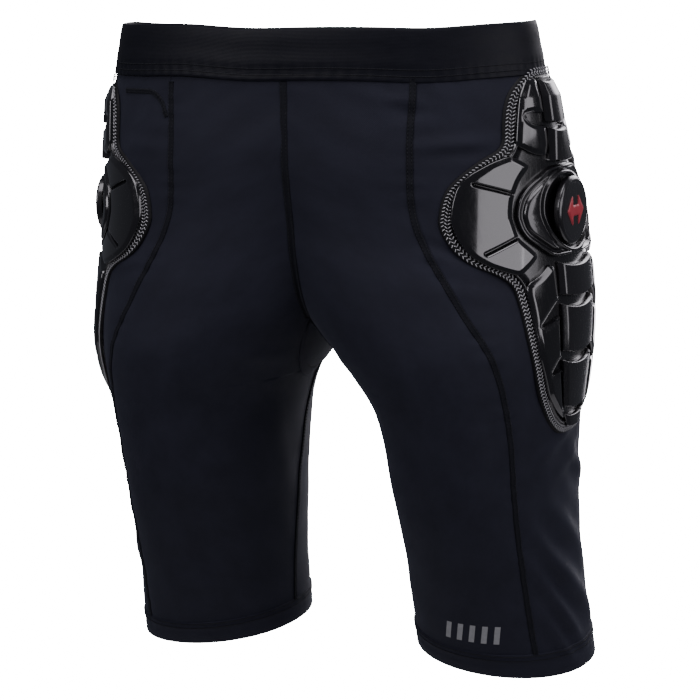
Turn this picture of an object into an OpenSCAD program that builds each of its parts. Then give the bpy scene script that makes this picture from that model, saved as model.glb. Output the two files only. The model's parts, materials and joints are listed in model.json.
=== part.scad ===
// Padded impact shorts for skiing and snowboarding.
// Compression shorts of sewn fabric panels, with a moulded hip and thigh pad sewn to each side.
// Frame: the origin is the centre of the waist opening, +Z is up, the front faces -Y and the
// wearer's left is +X. Everything lies on one body surface, so a changed size carries it along.

/* [Body] */
// full width of the waist opening
waist_width = 326; // [270:1:395]
// full width across the hips, without the pads
hip_width = 384; // [310:1:470]
// height from the crotch up to the waist edge
rise = 236; // [196:1:284]
// length of the outside of the leg below the crotch
leg_length = 254; // [210:1:306]
// gap between the two legs at the hem
leg_gap = 104; // [70:1:130]
// full width from the outside of one hem to the outside of the other
hem_spread = 382; // [330:1:440]
// how far the front lies ahead of the origin at the waist, fullest point and hem
front_depth = [83, 107, 36]; // [20:1:140]
// how far the back lies behind the origin at the waist, seat and hem
back_depth = [66, 119, 102]; // [50:1:150]

/* [Fabric] */
// thickness of the stretch fabric
fabric = 1.0; // [0.6:0.1:1.2]
// gap left between two panels where a seam joins them
seam_gap = 0.6; // [0.4:0.1:1.2]
// height of the elastic waistband
band_height = 38; // [25:1:50]
// thickness of the elastic waistband
band_thickness = 2.4; // [1.5:0.1:3]
// height of the turned hem
hem_height = 20; // [10:1:25]
// how much lower the hem is on the outside of the leg than at its middle
hem_drop = 7; // [0:1:20]
// half height of the gusset under the crotch
gusset_reach = 30; // [15:1:40]
// width of a flatlock seam
seam_width = 4; // [2:0.5:6]
// height of the stitching above the fabric
stitch_rise = 0.7; // [0.3:0.1:1]

/* [Pad] */
// how far the middle of the hip disc is below the waistband
disc_drop = 101; // [100:1:120]
// how far forward of the side line the disc and the thigh pad are
pad_lead = 17; // [0:1:24]
// how far the pad above the disc leans back for each millimetre up the hip
pad_lean = 0.14; // [0:0.02:0.2]
// how far the disc is turned towards the front, in degrees
disc_turn = 8; // [0:1:12]
// radius of the hip disc
disc_radius = 25; // [18:1:26]
// height of the hip disc
disc_height = 6; // [3:0.5:8]
// thickness of the flexible pad backing
backing = 1.0; // [0.6:0.1:1.4]
// air gap between a layer and the one below it
layer_gap = 0.5; // [0.4:0.1:0.8]
// height of the moulded plates at their edges
plate_edge = 3.2; // [2:0.1:5]
// how much higher a plate is at its middle
plate_crown = 2.6; // [0:0.1:5]
// width of the zigzag stitching round the backing
zigzag_width = 5; // [3:0.5:7]
// size of the mark on the hip disc
mark_size = 26; // [12:1:28]

/* [Smoothness] */
// rows of facets down a fabric panel
panel_rows = 24; // [16:1:30]
// columns of facets across a fabric panel
panel_columns = 8; // [6:1:12]

/* [Hidden] */
sides = ["left", "right"];
shared_nodes = ["waistband", "waistband_stitching", "gusset", "centre_front_seam",
    "centre_back_seam", "hem_mark"];
side_nodes = ["front_panel", "side_panel", "back_panel", "hem_band", "front_seam", "back_seam",
    "inseam", "hem_stitching", "pad_backing", "pad_stitching", "upper_front_plate",
    "upper_rear_plate", "upper_side_plates", "front_petal", "rear_petal", "hub_plate",
    "hub_disc", "disc_mark", "thigh_front_plate", "thigh_rear_plate", "thigh_side_plates"];

cloth_grey = [0.09, 0.095, 0.115];
band_grey = [0.10, 0.10, 0.12];
plate_black = [0.05, 0.05, 0.06];
rubber_grey = [0.12, 0.12, 0.13];
thread_grey = [0.35, 0.35, 0.37];
mark_red = [0.62, 0.13, 0.16];
mark_grey = [0.72, 0.72, 0.72];

// ---- the body surface ----------------------------------------------------------------------
// Each half is an ellipse at every height, and the two halves meet at x = 0 above the crotch.
waist_half = waist_width / 2;
hip_half = hip_width / 2;
hem_half = hem_spread / 2;
hip_step = hip_half - waist_half;
level = concat([for (k = [0, 0.19, 0.38, 0.61, 0.85, 1.02]) -k * rise],
    [for (k = [0.2, 0.43, 0.7, 1.06]) -rise - k * leg_length]);
outer = [waist_half, waist_half + 0.3 * hip_step, waist_half + 0.55 * hip_step,
    waist_half + 0.8 * hip_step, hip_half, hip_half, (2 * hip_half + hem_half) / 3 - 5,
    (hip_half + 2 * hem_half) / 3 - 9, hem_half - 8, hem_half];
inner = [-waist_half, -0.83 * waist_half, -0.66 * waist_half, -0.44 * waist_half,
    -0.19 * waist_half, 4, 0.33 * leg_gap, 0.43 * leg_gap, 0.49 * leg_gap, 0.5 * leg_gap];
front = blend_profile(front_depth, [0, 0.2, 0.42, 0.5, 0.87, 1], [0.11, 0.25, 0.56, 1]);
back = blend_profile(back_depth, [0, 0.04, 0.38, 0.9, 1, 0.9], [0.35, 0.45, 0.75, 1]);

// the first six levels run from the waist value to the fullest, the rest on to the hem value
function blend_profile(v, above, below) = concat(
    [for (k = above) v[0] + k * (v[1] - v[0])],
    [for (k = below) v[1] + k * (v[2] - v[1])]);

function segment(z, i = 0) = i >= len(level) - 2 || z > level[i + 1] ? i : segment(z, i + 1);
function slope(v, i) = let (lo = max(i - 1, 0), hi = min(i + 1, len(v) - 1))
    (v[hi] - v[lo]) / (level[hi] - level[lo]);
function along(v, z) = let (i = segment(z), h = level[i + 1] - level[i], t = (z - level[i]) / h)
    (2 * t * t * t - 3 * t * t + 1) * v[i] + (t * t * t - 2 * t * t + t) * h * slope(v, i)
    + (3 * t * t - 2 * t * t * t) * v[i + 1] + (t * t * t - t * t) * h * slope(v, i + 1);

function centre_x(z) = (along(outer, z) + along(inner, z)) / 2;
function half_x(z) = (along(outer, z) - along(inner, z)) / 2;
function centre_y(z) = (along(back, z) - along(front, z)) / 2;
function half_y(z) = (along(back, z) + along(front, z)) / 2;

// a point of the left half: angle a is 0 at the side and negative to the front
function on_body(a, z, lift = 0) = let (
    hx = half_x(z), hy = half_y(z), n = [cos(a) / hx, sin(a) / hy], s = lift / norm(n),
    p = [centre_x(z) + hx * cos(a) + s * n[0], centre_y(z) + hy * sin(a) + s * n[1], z])
    [max(p[0], 0), p[1], p[2]];

// the angle at which the ellipse meets the middle plane, which is 180 below the crotch
function middle_angle(z) = acos(max(-1, min(1, -centre_x(z) / half_x(z))));
function crossing(lo, hi, n = 24) = let (mid = (lo + hi) / 2)
    n == 0 ? mid : along(inner, mid) < 0 ? crossing(lo, mid, n - 1) : crossing(mid, hi, n - 1);
crotch = crossing(level[5], level[4]);

// ---- seam lines, as angles at a height ------------------------------------------------------
gusset_front = crotch + 18;
gusset_low = crotch - gusset_reach;
front_line = [55, 60, 66, 71, 63, 54, 50, 48, 49, 52];
inseam_line = [180, 180, 180, 180, 180, 180, 190, 186, 178, 166];
function front_seam_angle(z) = -along(front_line, z);
function back_seam_angle(z) = along(front_line, z);
function gusset_middle(p) = crotch + (gusset_front - crotch) * p * p;
function gusset_edge(p) = gusset_low + (gusset_front - gusset_low) * p * p;
function inner_angle(z, way) = z > gusset_front ? way * middle_angle(z)
    : z > gusset_low ? way * middle_angle(gusset_middle(sqrt((z - gusset_low)
        / (gusset_front - gusset_low))))
    : way < 0 ? -along(inseam_line, z) : 360 - along(inseam_line, z);

// the hem is lower outside than inside: the last part of the leg slants to meet it
hem_z = -rise - leg_length;
function slant(a, z) = let (k = max(0, (crotch - 60 - z) / (crotch - 60 - hem_z)))
    z - k * k * (hem_drop * cos(a) - 4 * sin(a));

// angle that gives a distance along the body at a height
function arc_angle(distance, z) = distance * 180 / PI / half_y(z);

// ---- closed meshes --------------------------------------------------------------------------
function flatten(rows) = [for (r = rows) each r];
function band_faces(m, from, to) = [for (i = [0 : m - 1]) let (j = (i + 1) % m)
    each [[from + i, to + i, to + j], [from + i, to + j, from + j]]];

// loops of equal length, joined one after the other, with a flat or pointed end at each end
module loft(loops) {
    m = len(loops[0]);
    n = len(loops);
    first = [for (i = [1 : m - 2]) [0, i, i + 1]];
    last = [for (i = [1 : m - 2]) [(n - 1) * m, (n - 1) * m + i + 1, (n - 1) * m + i]];
    walls = [for (k = [0 : n - 2]) each band_faces(m, k * m, (k + 1) * m)];
    polyhedron(flatten(loops), concat(first, walls, last));
}

// loops joined into a ring: the last one meets the first
module ring_loft(loops) {
    m = len(loops[0]);
    n = len(loops);
    polyhedron(flatten(loops),
        [for (k = [0 : n - 1]) each band_faces(m, k * m, ((k + 1) % n) * m)]);
}

// a sheet of fabric: rows of points on its outside and the same rows on its inside
module cloth(outside, inside) {
    n = len(outside);
    m = len(outside[0]);
    o = n * m;
    skin = [for (r = [0 : n - 2]) for (c = [0 : m - 2]) let (p = r * m + c)
        each [[p, p + 1, p + m + 1], [p, p + m + 1, p + m]]];
    lining = [for (f = skin) [f[2] + o, f[1] + o, f[0] + o]];
    rim = concat([for (c = [0 : m - 1]) c], [for (r = [1 : n - 1]) r * m + m - 1],
        [for (c = [m - 2 : -1 : 0]) (n - 1) * m + c], [for (r = [n - 2 : -1 : 1]) r * m]);
    edge = [for (i = [0 : len(rim) - 1]) let (a = rim[i], b = rim[(i + 1) % len(rim)])
        each [[b, a, a + o], [b, a + o, b + o]]];
    polyhedron(concat(flatten(outside), flatten(inside)), concat(skin, lining, edge));
}

// a narrow strip of stitching that follows a list of [angle, height] points
module stitching(path, width, low, high) {
    n = len(path);
    loops = [for (i = [0 : n - 1]) let (
        a = path[i][0], z = path[i][1], before = path[max(i - 1, 0)],
        after = path[min(i + 1, n - 1)],
        run = on_body(after[0], after[1]) - on_body(before[0], before[1]),
        out = on_body(a, z, 1) - on_body(a, z),
        side = cross(run / norm(run), out / norm(out)) * width / 2,
        base = on_body(a, z, low), top = on_body(a, z, high))
        [base - side, base + side, top + side, top - side]];
    loft(loops);
}

// the seam on the middle plane: it lies in the valley where the two halves meet
module middle_seam(way, from, to) {
    heights = [for (k = [0 : 12]) from + k * (to - from) / 12];
    function angle(z, x) = acos((x - centre_x(z)) / half_x(z));
    function points(z, lift) = let (
        edge = on_body(way * angle(z, seam_width / 2), z, lift),
        mid = on_body(way * angle(z, 0.01), z))
        [edge, [0, mid[1] + way * 1.3 * lift, z], [-edge[0], edge[1], z]];
    loops = [for (z = heights) let (low = points(z, 0.3), high = points(z, 0.3 + stitch_rise))
        [low[0], low[1], low[2], high[2], high[1], high[0]]];
    m = 6;
    e = 12 * m;
    caps = [[0, 1, 4], [0, 4, 5], [1, 2, 3], [1, 3, 4],
        [e, e + 4, e + 1], [e, e + 5, e + 4], [e + 1, e + 3, e + 2], [e + 1, e + 4, e + 3]];
    walls = [for (k = [0 : 11]) each band_faces(m, k * m, (k + 1) * m)];
    faces = concat(caps, walls);
    polyhedron(flatten(loops), way < 0 ? faces : [for (f = faces) [f[2], f[1], f[0]]]);
}

// ---- fabric --------------------------------------------------------------------------------
panel_top = -band_height - 0.5;
panel_bottom = hem_z + hem_height + 0.5;
gusset_rows = 6;
upper_rows = round((panel_rows - gusset_rows) * 0.45);
lower_rows = panel_rows - gusset_rows - upper_rows;
panel_heights = concat(
    [for (k = [0 : upper_rows - 1]) panel_top + k * (gusset_front - panel_top) / upper_rows],
    [for (k = [gusset_rows : -1 : 1]) gusset_edge(k / gusset_rows)],
    [for (k = [0 : lower_rows]) gusset_low + k * (panel_bottom - gusset_low) / lower_rows]);

// a panel between two seam angles at every height
module panel(pairs) {
    gap = arc_angle(seam_gap / 2, hem_z);
    function row(i, lift) = let (z = panel_heights[i], from = pairs[i][0] + gap,
        to = pairs[i][1] - gap)
        [for (c = [0 : panel_columns]) let (a = from + c * (to - from) / panel_columns)
            on_body(a, slant(a, z), lift)];
    cloth([for (i = [0 : panel_rows]) row(i, 0)], [for (i = [0 : panel_rows]) row(i, -fabric)]);
}

module front_panel() {
    panel([for (z = panel_heights) [inner_angle(z, -1), front_seam_angle(z)]]);
}

module side_panel() {
    panel([for (z = panel_heights) [front_seam_angle(z), back_seam_angle(z)]]);
}

module back_panel() {
    panel([for (z = panel_heights) [back_seam_angle(z), inner_angle(z, 1)]]);
}

// closed loop round one leg
function leg_loop(z, lift) = [for (k = [0 : 35]) let (a = k * 10) on_body(a, slant(a, z), lift)];

module hem_band() {
    top = hem_z + hem_height;
    ring_loft([leg_loop(top, 0), leg_loop(hem_z, 0), leg_loop(hem_z, -2 * fabric),
        leg_loop(top, -2 * fabric)]);
}

module hem_stitching() {
    low = hem_z + hem_height - 1;
    ring_loft([leg_loop(low + 2, 0.5 + stitch_rise), leg_loop(low - 1, 0.5 + stitch_rise),
        leg_loop(low - 1, 0.5), leg_loop(low + 2, 0.5)]);
}

// closed loop round the whole waist
function waist_loop(z, lift) = let (m = middle_angle(z),
    half = [for (k = [0 : 18]) on_body(-m + k * m / 9, z, lift)])
    concat(half, [for (k = [17 : -1 : 1]) [-half[k][0], half[k][1], z]]);

// the two rows of stitching; the band has its own levels there, so that they lie flat on it
row_width = 1.5;
stitch_tops = [-band_height + 9, -band_height + 4];

module waistband() {
    steps = concat([0, stitch_tops[0] / 2], [for (z = stitch_tops) each [z, z - row_width]],
        [-band_height]);
    last = len(steps) - 1;
    lift = band_thickness / 2;
    ring_loft(concat([for (z = steps) waist_loop(z, lift)],
        [for (k = [last : -1 : 0]) waist_loop(steps[k], -lift)]));
}

module waistband_stitching() {
    low = band_thickness / 2 + 0.3;
    for (z = stitch_tops) {
        ring_loft([waist_loop(z, low + stitch_rise), waist_loop(z - row_width, low + stitch_rise),
            waist_loop(z - row_width, low), waist_loop(z, low)]);
    }
}

// a small diamond under the crotch: it hangs down the inside of both legs
module gusset() {
    n = gusset_rows;
    function point(i, j, lift) = let (p = 0.97 * i / n, q = 0.97 * j / n, z0 = gusset_middle(p),
        a = (p < 0 ? -1 : 1) * middle_angle(z0), z = z0 - abs(q) * (z0 - gusset_edge(p)),
        b = on_body(a, z, lift), drop = j == 0 ? lift : 0)
        [j == 0 ? 0 : sign(j) * max(b[0], 0.5), j == 0 ? on_body(a, z)[1] : b[1], z - 1 + drop];
    cloth([for (i = [-n : n]) [for (j = [-n : n]) point(i, j, 0)]],
        [for (i = [-n : n]) [for (j = [-n : n]) point(i, j, fabric)]]);
}

module centre_front_seam() {
    middle_seam(-1, panel_top - 0.5, gusset_front + 2);
}

module centre_back_seam() {
    middle_seam(1, panel_top - 0.5, gusset_front + 2);
}

// seams down the leg stop short of the band above and of the hem stitching below
seam_top = panel_top - 1;
seam_bottom = hem_z + hem_height + 4;
function seam_path(line, way, from) = [for (k = [0 : 16])
    let (z = from + k * (seam_bottom - from) / 16, a = way * along(line, z)) [a, slant(a, z)]];

module front_seam() {
    stitching(seam_path(front_line, -1, seam_top), seam_width, 0.3, 0.3 + stitch_rise);
}

module back_seam() {
    stitching(seam_path(front_line, 1, seam_top), seam_width, 0.3, 0.3 + stitch_rise);
}

module inseam() {
    stitching(seam_path(inseam_line, -1, gusset_low - 2), seam_width, 0.3, 0.3 + stitch_rise);
}

// plain raised bars stand for the printed mark above one hem
module hem_mark() {
    for (k = [0 : 4]) {
        a = -106 + 8 * k;
        z = hem_z + hem_height + 24;
        stitching([[a, z], [a + 3, z + 5], [a + 6, z + 10]], 3, 0.3, 0.3 + stitch_rise / 2);
    }
}

// ---- moulded pad ----------------------------------------------------------------------------
// Pad outlines are [forward of the pad's middle line, height] in millimetres, with the disc's
// middle at disc_level. The whole pad moves with the lower edge of the waistband.
disc_level = -139;
pad_shift = -disc_level - band_height - disc_drop;
function pad_middle(z) = pad_lead - pad_lean * max(0, z - disc_level);
function on_pad(p, lift) = let (z = p[1] + pad_shift)
    on_body(-arc_angle(p[0] + pad_middle(p[1]), z), z, lift);
function mirrored(outline) = [for (i = [len(outline) - 1 : -1 : 0])
    [-outline[i][0], outline[i][1]]];
function mean_point(outline) = [for (c = [0, 1])
    [for (p = outline) 1] * [for (p = outline) p[c]] / len(outline)];
function cut_corners(p) = let (n = len(p)) [for (i = [0 : n - 1])
    each [0.8 * p[i] + 0.2 * p[(i + 1) % n], 0.2 * p[i] + 0.8 * p[(i + 1) % n]]];
function shrunk(outline, c, k, lift) = [for (p = outline) on_pad(c + k * (p - c), lift)];

backing_low = 0.3 + stitch_rise + 0.3;
backing_high = backing_low + backing;
plate_low = backing_high + layer_gap;

// one moulded plate with a steep edge and a crowned top
module plate(corners, edge = plate_edge, crown = plate_crown) {
    outline = cut_corners(corners);
    c = mean_point(corners);
    top = plate_low + edge;
    loft([shrunk(outline, c, 0.4, plate_low), shrunk(outline, c, 1, plate_low),
        shrunk(outline, c, 1, top - 1), shrunk(outline, c, 0.92, top),
        shrunk(outline, c, 0.45, top + crown)]);
}

flange_half = [[0, -42], [24, -42], [32, -48], [38, -58], [42, -74], [46, -87], [59, -96],
    [76, -108], [87, -118], [95, -132], [100, -145], [98, -160], [90, -170], [74, -178],
    [64, -185], [62, -200], [59, -220], [54, -240], [47, -268], [34, -291], [17, -304]];
flange = concat(flange_half, [[0, -307]],
    mirrored([for (i = [1 : len(flange_half) - 1]) flange_half[i]]));

flange_middle = [0, -150];
flange_rings = [0.15, 0.3, 0.45, 0.6, 0.75, 0.88, 1];

module pad_backing() {
    loft(concat([for (k = flange_rings) shrunk(flange, flange_middle, k, backing_low)],
        [for (i = [6 : -1 : 0]) shrunk(flange, flange_middle, flange_rings[i], backing_high)]));
}

module pad_stitching() {
    inset = 0.96;
    half = zigzag_width / 2;
    function ring(offset, lift) = [for (p = flange)
        let (d = p - flange_middle, q = flange_middle + (inset + offset / norm(d)) * d)
        on_pad(q, lift)];
    low = backing_high + 0.2;
    high = low + stitch_rise / 2;
    ring_loft([ring(-half, low), ring(-half, high), ring(half, high), ring(half, low)]);
}

upper_front = [[13, -46], [21, -46], [28, -53], [36, -80], [38, -87], [28, -95], [17, -98],
    [13, -90]];
module upper_front_plate() {
    plate(upper_front);
}
module upper_rear_plate() {
    plate(mirrored(upper_front));
}

// a plate of the side column: its top is hollow and its bottom bulges
function shingle(top, bottom, top_half, bottom_half, sag) = [
    [top_half, top], [bottom_half, bottom + sag], [bottom_half / 2, bottom + sag / 4],
    [-bottom_half / 2, bottom + sag / 4], [-bottom_half, bottom + sag], [-top_half, top],
    [0, top - sag]];

module upper_side_plates() {
    plate(shingle(-46, -75, 11, 11, 2));
    plate(shingle(-78, -102, 10, 14, 2));
}

petal_facets = [
    [[31, -103], [43, -94], [55, -98], [68, -105], [67, -112], [47, -120], [41, -113]],
    [[49, -124], [69, -115], [78, -114], [86, -126], [91, -138], [92, -150], [90, -160],
        [81, -161], [54, -150], [52, -137]],
    [[53, -155], [79, -164], [81, -169], [69, -175], [58, -179], [47, -172], [40, -166],
        [46, -160]]];
module front_petal() {
    for (facet = petal_facets) {
        plate(facet);
    }
}
module rear_petal() {
    for (facet = petal_facets) {
        plate(mirrored(facet));
    }
}

hub_hole = disc_radius + 3;
hub_half = [[0, 34], [14, 34], [29, 27], [38, 21], [45, 14], [50, 3], [50, -8], [47, -15],
    [38, -23], [27, -31], [0, -31]];
hub_outline = cut_corners(concat(hub_half, mirrored([for (i = [1 : 9]) hub_half[i]])));

// the pointed plate that surrounds the disc
module hub_plate() {
    c = [0, disc_level];
    function ring(k, lift) = [for (p = hub_outline) let (hole = hub_hole * p / norm(p))
        on_pad(c + hole + k * (p - hole), lift)];
    top = plate_low + plate_edge;
    ring_loft([ring(1, plate_low), ring(1, top - 1), ring(0.8, top), ring(0.1, top + 0.5),
        ring(0, top - 1), ring(0, plate_low), ring(0.5, plate_low)]);
}

// the disc is flat and round, and faces the side and a little forward
disc_base = on_pad([0, disc_level], plate_low + 0.5);
module on_disc(height) {
    translate(disc_base)
        rotate([90, 0, 90 - disc_turn])
            translate([0, 0, height])
                children();
}

module hub_disc() {
    on_disc(0)
        rotate_extrude($fn = 72)
            polygon([[0, 0], [disc_radius - 2, 0], [disc_radius, disc_height - 2],
                [disc_radius - 2, disc_height], [0, disc_height]]);
}

// a plain double arrow stands for the printed mark on the disc
module disc_mark() {
    arm = mark_size * 0.42;
    on_disc(disc_height + 0.2)
        linear_extrude(0.5)
            for (k = [-1, 1]) {
                translate([0, k * mark_size / 4])
                    polygon([[-arm, -arm / 2], [0, arm / 4], [arm, -arm / 2], [arm, arm / 6],
                        [0, arm * 0.9], [-arm, arm / 6]]);
            }
}

thigh_front = [[28, -176], [33, -174], [42, -180], [54, -185], [56, -191], [54, -214],
    [49, -238], [38, -270], [27, -284], [17, -291], [21, -276], [26, -250], [28, -215]];
module thigh_front_plate() {
    plate(thigh_front);
}
module thigh_rear_plate() {
    plate(mirrored(thigh_front));
}

module thigh_side_plates() {
    plate(shingle(-173, -200, 24, 25, 4));
    plate(shingle(-202, -241, 25, 23, 4));
    plate(shingle(-244, -284, 23, 18, 4));
    plate(shingle(-287, -299, 16, 11, 2));
}

// ---- placing --------------------------------------------------------------------------------
module on(side) {
    if (side == "left") {
        children();
    }
    else {
        mirror([1, 0, 0])
            children();
    }
}

color(band_grey) waistband();
color(thread_grey) waistband_stitching();
color(cloth_grey) gusset();
color(thread_grey) centre_front_seam();
color(thread_grey) centre_back_seam();
color(mark_grey) hem_mark();
on("left") color(cloth_grey) front_panel();  // front_panel_left
on("right") color(cloth_grey) front_panel();  // front_panel_right
on("left") color(cloth_grey) side_panel();  // side_panel_left
on("right") color(cloth_grey) side_panel();  // side_panel_right
on("left") color(cloth_grey) back_panel();  // back_panel_left
on("right") color(cloth_grey) back_panel();  // back_panel_right
on("left") color(cloth_grey) hem_band();  // hem_band_left
on("right") color(cloth_grey) hem_band();  // hem_band_right
on("left") color(thread_grey) front_seam();  // front_seam_left
on("right") color(thread_grey) front_seam();  // front_seam_right
on("left") color(thread_grey) back_seam();  // back_seam_left
on("right") color(thread_grey) back_seam();  // back_seam_right
on("left") color(thread_grey) inseam();  // inseam_left
on("right") color(thread_grey) inseam();  // inseam_right
on("left") color(thread_grey) hem_stitching();  // hem_stitching_left
on("right") color(thread_grey) hem_stitching();  // hem_stitching_right
on("left") color(rubber_grey) pad_backing();  // pad_backing_left
on("right") color(rubber_grey) pad_backing();  // pad_backing_right
on("left") color(thread_grey) pad_stitching();  // pad_stitching_left
on("right") color(thread_grey) pad_stitching();  // pad_stitching_right
on("left") color(plate_black) upper_front_plate();  // upper_front_plate_left
on("right") color(plate_black) upper_front_plate();  // upper_front_plate_right
on("left") color(plate_black) upper_rear_plate();  // upper_rear_plate_left
on("right") color(plate_black) upper_rear_plate();  // upper_rear_plate_right
on("left") color(plate_black) upper_side_plates();  // upper_side_plates_left
on("right") color(plate_black) upper_side_plates();  // upper_side_plates_right
on("left") color(plate_black) front_petal();  // front_petal_left
on("right") color(plate_black) front_petal();  // front_petal_right
on("left") color(plate_black) rear_petal();  // rear_petal_left
on("right") color(plate_black) rear_petal();  // rear_petal_right
on("left") color(plate_black) hub_plate();  // hub_plate_left
on("right") color(plate_black) hub_plate();  // hub_plate_right
on("left") color(plate_black) hub_disc();  // hub_disc_left
on("right") color(plate_black) hub_disc();  // hub_disc_right
on("left") color(mark_red) disc_mark();  // disc_mark_left
on("right") color(mark_red) disc_mark();  // disc_mark_right
on("left") color(plate_black) thigh_front_plate();  // thigh_front_plate_left
on("right") color(plate_black) thigh_front_plate();  // thigh_front_plate_right
on("left") color(plate_black) thigh_rear_plate();  // thigh_rear_plate_left
on("right") color(plate_black) thigh_rear_plate();  // thigh_rear_plate_right
on("left") color(plate_black) thigh_side_plates();  // thigh_side_plates_left
on("right") color(plate_black) thigh_side_plates();  // thigh_side_plates_right
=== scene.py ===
"""Looks of the padded impact shorts: fabric, seams, moulded pads, materials, light and camera.

Every piece is laid on the body surface that the CAD uses: an ellipse round each leg at every
height. Lengths inside the helpers are millimetres in the part's frame, and MM turns them into
metres when a mesh is made. Side +1 is the wearer's left (+X), side -1 the wearer's right.
"""
import json
import math
from functools import partial

import bpy
import numpy as np
from mathutils import Matrix, Vector
from mathutils.geometry import delaunay_2d_cdt

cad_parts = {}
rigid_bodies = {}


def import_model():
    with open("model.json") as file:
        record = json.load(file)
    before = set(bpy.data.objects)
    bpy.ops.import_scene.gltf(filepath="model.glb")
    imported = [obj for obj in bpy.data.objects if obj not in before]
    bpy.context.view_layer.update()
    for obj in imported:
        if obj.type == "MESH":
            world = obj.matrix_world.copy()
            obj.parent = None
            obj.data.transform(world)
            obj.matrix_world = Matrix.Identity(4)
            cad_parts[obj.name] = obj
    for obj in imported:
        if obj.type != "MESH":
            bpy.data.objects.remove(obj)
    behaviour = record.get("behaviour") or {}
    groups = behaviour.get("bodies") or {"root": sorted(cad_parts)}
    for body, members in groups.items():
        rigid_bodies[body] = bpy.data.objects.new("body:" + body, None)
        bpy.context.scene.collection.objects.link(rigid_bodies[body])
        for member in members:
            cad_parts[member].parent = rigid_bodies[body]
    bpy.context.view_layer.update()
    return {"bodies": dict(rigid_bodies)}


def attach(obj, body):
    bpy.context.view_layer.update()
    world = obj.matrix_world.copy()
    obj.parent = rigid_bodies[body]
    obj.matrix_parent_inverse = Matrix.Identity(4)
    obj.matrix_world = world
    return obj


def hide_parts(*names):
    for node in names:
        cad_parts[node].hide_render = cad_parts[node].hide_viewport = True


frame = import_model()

MM = 0.001
SIDES = ((1, "left"), (-1, "right"))

# ---- the body surface, as in the CAD -------------------------------------------------------
RISE = 236.0
LEG = 254.0
WAIST_HALF = 163.0
HIP_HALF = 192.0
HEM_HALF = 191.0
LEG_GAP = 104.0
BAND = 38.0
HEM = 20.0
HEM_DROP = 7.0
HEM_Z = -RISE - LEG
LEVEL = np.concatenate([
    -RISE * np.array([0, 0.19, 0.38, 0.61, 0.85, 1.02]),
    -RISE - LEG * np.array([0.2, 0.43, 0.7, 1.06])])
STEP = HIP_HALF - WAIST_HALF
OUTER = np.array([
    WAIST_HALF, WAIST_HALF + 0.3 * STEP, WAIST_HALF + 0.55 * STEP, WAIST_HALF + 0.8 * STEP,
    HIP_HALF, HIP_HALF, (2 * HIP_HALF + HEM_HALF) / 3 - 5, (HIP_HALF + 2 * HEM_HALF) / 3 - 9,
    HEM_HALF - 8, HEM_HALF])
INNER = np.array([
    -WAIST_HALF, -0.83 * WAIST_HALF, -0.66 * WAIST_HALF, -0.44 * WAIST_HALF,
    -0.19 * WAIST_HALF, 4, 0.33 * LEG_GAP, 0.43 * LEG_GAP, 0.49 * LEG_GAP, 0.5 * LEG_GAP])


def profile(top, full, hem, above, below):
    """Depth at each level: from the waist value to the fullest one, then on to the hem's."""
    return np.concatenate([top + np.array(above) * (full - top),
                           full + np.array(below) * (hem - full)])


FRONT = profile(83, 107, 36, [0, 0.2, 0.42, 0.5, 0.87, 1], [0.11, 0.25, 0.56, 1])
BACK = profile(66, 119, 102, [0, 0.04, 0.38, 0.9, 1, 0.9], [0.35, 0.45, 0.75, 1])
FRONT_LINE = np.array([55, 60, 66, 71, 63, 54, 50, 48, 49, 52.0])
INSEAM_LINE = np.array([180, 180, 180, 180, 180, 180, 190, 186, 178, 166.0])


def along(values, z):
    """Smooth value of a list of level values at the heights z."""
    z = np.asarray(z, float)
    i = np.clip(np.searchsorted(-LEVEL, -z, side="right") - 1, 0, len(LEVEL) - 2)
    lo = np.maximum(np.arange(len(LEVEL)) - 1, 0)
    hi = np.minimum(np.arange(len(LEVEL)) + 1, len(LEVEL) - 1)
    slope = (values[hi] - values[lo]) / (LEVEL[hi] - LEVEL[lo])
    h = LEVEL[i + 1] - LEVEL[i]
    t = (z - LEVEL[i]) / h
    return ((2 * t**3 - 3 * t**2 + 1) * values[i] + (t**3 - 2 * t**2 + t) * h * slope[i]
            + (3 * t**2 - 2 * t**3) * values[i + 1] + (t**3 - t**2) * h * slope[i + 1])


def ellipse(z):
    """Centre and half sizes of the left half's ellipse: centre x, half x, centre y, half y."""
    outer, inner = along(OUTER, z), along(INNER, z)
    front, back = along(FRONT, z), along(BACK, z)
    return (outer + inner) / 2, (outer - inner) / 2, (back - front) / 2, (back + front) / 2


def on_body(a, z, lift=0.0):
    """Points of the left half, in mm: angle a in degrees is 0 at the side, negative in front."""
    cx, hx, cy, hy = ellipse(z)
    c, s = np.cos(np.radians(a)), np.sin(np.radians(a))
    n = np.hypot(c / hx, s / hy)
    x = cx + hx * c + lift * c / hx / n
    y = cy + hy * s + lift * s / hy / n
    return np.stack(np.broadcast_arrays(np.maximum(x, 0), y, z), -1)


def middle_angle(z):
    cx, hx, _, _ = ellipse(z)
    return np.degrees(np.arccos(np.clip(-cx / hx, -1, 1)))


def find_crotch():
    heights = np.linspace(LEVEL[5], LEVEL[4], 4000)
    return float(heights[np.argmin(np.abs(along(INNER, heights)))])


CROTCH = find_crotch()
GUSSET_FRONT = CROTCH + 18
GUSSET_LOW = CROTCH - 30


def gusset_middle(p):
    return CROTCH + (GUSSET_FRONT - CROTCH) * p**2


def gusset_edge(p):
    return GUSSET_LOW + (GUSSET_FRONT - GUSSET_LOW) * p**2


def inner_angle(z, way):
    """Angle of a panel's inner edge: the middle plane, then the gusset, then the inseam."""
    p = np.sqrt(np.clip((z - GUSSET_LOW) / (GUSSET_FRONT - GUSSET_LOW), 0, None))
    inseam = along(INSEAM_LINE, z)
    upper = way * middle_angle(np.where(z > GUSSET_FRONT, z, gusset_middle(np.minimum(p, 1))))
    return np.where(z > GUSSET_LOW, upper, -inseam if way < 0 else 360 - inseam)


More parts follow.
